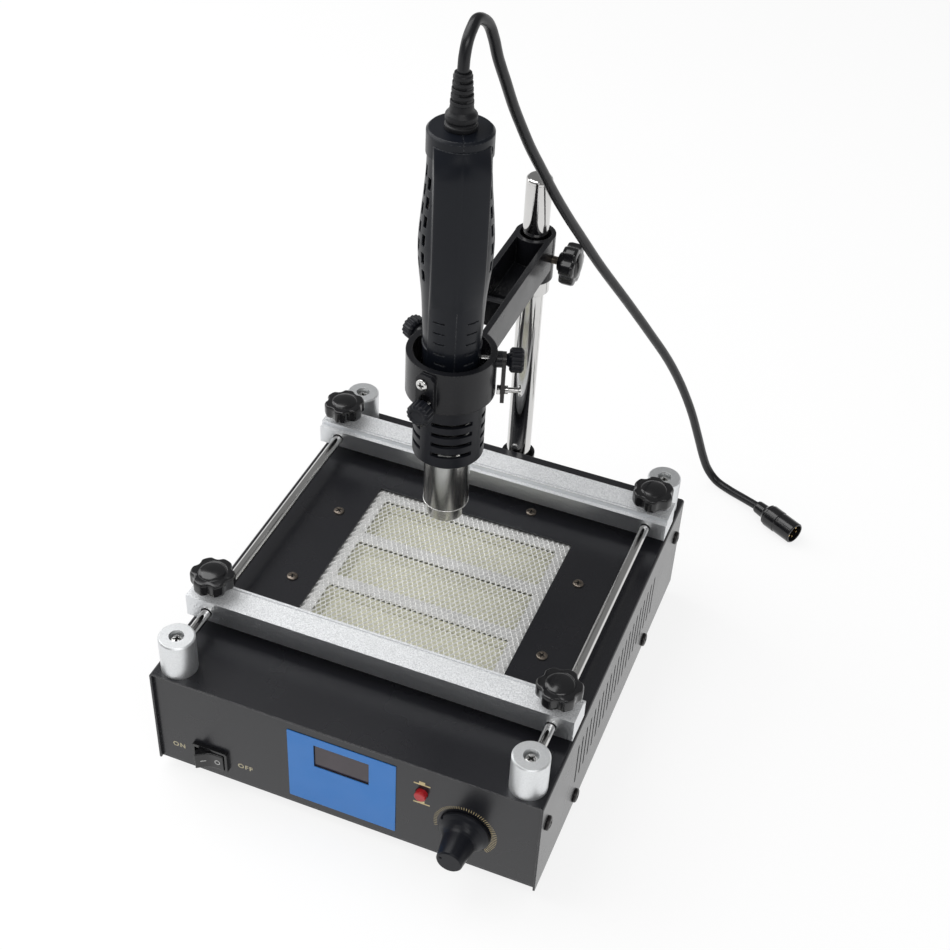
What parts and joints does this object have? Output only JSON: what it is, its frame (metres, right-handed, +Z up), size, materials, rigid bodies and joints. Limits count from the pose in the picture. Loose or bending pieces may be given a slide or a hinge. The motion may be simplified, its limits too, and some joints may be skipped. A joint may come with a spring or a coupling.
{
  "type": "infrared preheating station",
  "caption": "Benchtop infrared preheater with board clamp bars on guide rods, mast, swivel arm and hot-air handle.",
  "frame": {"origin": "centre of the base on the table, under the middle of the station without its loose cord", "axes": "+Z up from the table, -Y towards the control panel, +X to the operator's right"},
  "size_m": [0.3091, 0.4134, 0.429],
  "materials": {
    "black_powder_coat": "fine black powder coat",
    "black_plastic": "moulded, fine texture",
    "gloss_black_plastic": "moulded, glossy",
    "black_casting": "black paint on a casting",
    "black_screw": "blackened steel",
    "rubber": "soft, matte",
    "cord_jacket": "smooth jacket",
    "satin_aluminium": "satin, blasted",
    "chrome": "polished",
    "steel": "plated",
    "mesh_steel": "expanded sheet",
    "ceramic": "glazed ivory ceramic",
    "insulation": "pressed fibre board",
    "blue_overlay": "printed film",
    "smoked_window": "smoked",
    "red_plastic": "moulded",
    "circuit_board": "solder mask",
    "brass": "turned"
  },
  "bodies": {
    "station": {"base_pan": "black_powder_coat", "top_cover": "black_powder_coat", "front_panel": "black_powder_coat", "rear_panel": "black_powder_coat", "rubber_feet": "rubber", "cover_screws": "black_screw", "reflector_tray": "steel", "insulation_board": "insulation", "heater_tiles": "ceramic", "mesh_frame": "mesh_steel", "mesh_guard": "mesh_steel", "tray_screws": "steel", "corner_posts": "satin_aluminium", "post_screws": "steel", "guide_rods": "chrome", "mast_bracket": "black_casting", "bracket_screws": "black_screw", "mast": "chrome", "mast_screw": "chrome", "mast_cap": "chrome", "display_overlay": "blue_overlay", "display_window": "smoked_window", "display_module": "black_plastic", "rocker_frame": "gloss_black_plastic", "button_body": "black_plastic", "dial_potentiometer": "steel", "control_board": "circuit_board", "mains_inlet": "black_plastic"},
    "rocker_switch": {"rocker": "gloss_black_plastic"},
    "button": {"push_button": "red_plastic"},
    "dial": {"dial_shaft": "steel", "dial_knob": "black_plastic"},
    "front_bar": {"clamp_bar_front": "satin_aluminium"},
    "rear_bar": {"clamp_bar_rear": "satin_aluminium"},
    "knob_front_left": {"clamp_knob_front_left": "gloss_black_plastic"},
    "knob_front_right": {"clamp_knob_front_right": "gloss_black_plastic"},
    "knob_rear_left": {"clamp_knob_rear_left": "gloss_black_plastic"},
    "knob_rear_right": {"clamp_knob_rear_right": "gloss_black_plastic"},
    "collar": {"stop_ring": "chrome", "stop_ring_screw": "black_screw"},
    "arm": {"support_arm": "black_casting", "holder_screw": "chrome", "side_strip": "black_screw", "side_strip_screw": "black_screw"},
    "arm_lock": {"arm_knob": "gloss_black_plastic"},
    "ring_lock_right": {"ring_knob_right": "black_plastic"},
    "ring_lock_left": {"ring_knob_left": "black_plastic"},
    "ring_lock_front": {"ring_knob_front": "black_plastic"},
    "gun": {"handle_shell_left": "black_plastic", "handle_shell_right": "black_plastic", "handle_screws": "steel", "nozzle_guard": "black_plastic", "nozzle_tube": "chrome", "heating_element": "ceramic", "blower_motor": "steel", "strain_relief": "rubber", "cord": "cord_jacket", "connector_shell": "gloss_black_plastic", "connector_pins": "brass"},
    "rotor": {"blower_rotor": "black_plastic"}
  },
  "joints": [
    {"name": "front_bar_slide", "type": "slide", "parent": "station", "child": "front_bar", "axis": [0, 1, 0], "range_m": [-0.0205, 0.06]},
    {"name": "rear_bar_slide", "type": "slide", "parent": "station", "child": "rear_bar", "axis": [0, 1, 0], "range_m": [-0.06, 0.007]},
    {"name": "clamp_knob_front_left_turn", "type": "hinge", "parent": "front_bar", "child": "knob_front_left", "pos_m": [-0.105, -0.0807, 0.11], "axis": [0, 0, 1], "range_deg": [0, 360]},
    {"name": "clamp_knob_front_right_turn", "type": "hinge", "parent": "front_bar", "child": "knob_front_right", "pos_m": [0.105, -0.0807, 0.11], "axis": [0, 0, 1], "range_deg": [0, 360]},
    {"name": "clamp_knob_rear_left_turn", "type": "hinge", "parent": "rear_bar", "child": "knob_rear_left", "pos_m": [-0.105, 0.0942, 0.11], "axis": [0, 0, 1], "range_deg": [0, 360]},
    {"name": "clamp_knob_rear_right_turn", "type": "hinge", "parent": "rear_bar", "child": "knob_rear_right", "pos_m": [0.105, 0.0942, 0.11], "axis": [0, 0, 1], "range_deg": [0, 360]},
    {"name": "collar_height", "type": "slide", "parent": "station", "child": "collar", "axis": [0, 0, 1], "range_m": [-0.01, 0.03]},
    {"name": "arm_swivel", "type": "hinge", "parent": "collar", "child": "arm", "pos_m": [0, 0.144, 0.23], "axis": [0, 0, 1], "range_deg": [-30, 60]},
    {"name": "arm_knob_turn", "type": "hinge", "parent": "arm", "child": "arm_lock", "pos_m": [0.02, 0.144, 0.2285], "axis": [1, 0, 0], "range_deg": [0, 360]},
    {"name": "ring_knob_right_turn", "type": "hinge", "parent": "arm", "child": "ring_lock_right", "pos_m": [0.02819, 0.02126, 0.2395], "axis": [0.9397, 0.342, 0], "range_deg": [0, 360]},
    {"name": "ring_knob_left_turn", "type": "hinge", "parent": "arm", "child": "ring_lock_left", "pos_m": [-0.02598, 0.026, 0.2395], "axis": [-0.866, 0.5, 0], "range_deg": [0, 360]},
    {"name": "ring_knob_front_turn", "type": "hinge", "parent": "arm", "child": "ring_lock_front", "pos_m": [-0.00366, -0.01878, 0.2225], "axis": [-0.1219, -0.9925, 0], "range_deg": [0, 360]},
    {"name": "gun_height", "type": "slide", "parent": "arm", "child": "gun", "axis": [0, 0, 1], "range_m": [0, 0.01]},
    {"name": "blower_spin", "type": "hinge", "parent": "gun", "child": "rotor", "pos_m": [0, 0.011, 0.32], "axis": [0, 0, 1], "continuous": true},
    {"name": "rocker_tilt", "type": "hinge", "parent": "station", "child": "rocker_switch", "pos_m": [-0.0835, -0.1341, 0.023], "axis": [0, 0, -1], "range_deg": [0, 34]},
    {"name": "button_press", "type": "slide", "parent": "station", "child": "button", "axis": [0, 1, 0], "range_m": [0, 0.002], "stiffness_N_per_m": 200},
    {"name": "dial_turn", "type": "hinge", "parent": "station", "child": "dial", "pos_m": [0.0745, -0.14, 0.0375], "axis": [0, 1, 0], "range_deg": [0, 300]}
  ]
}
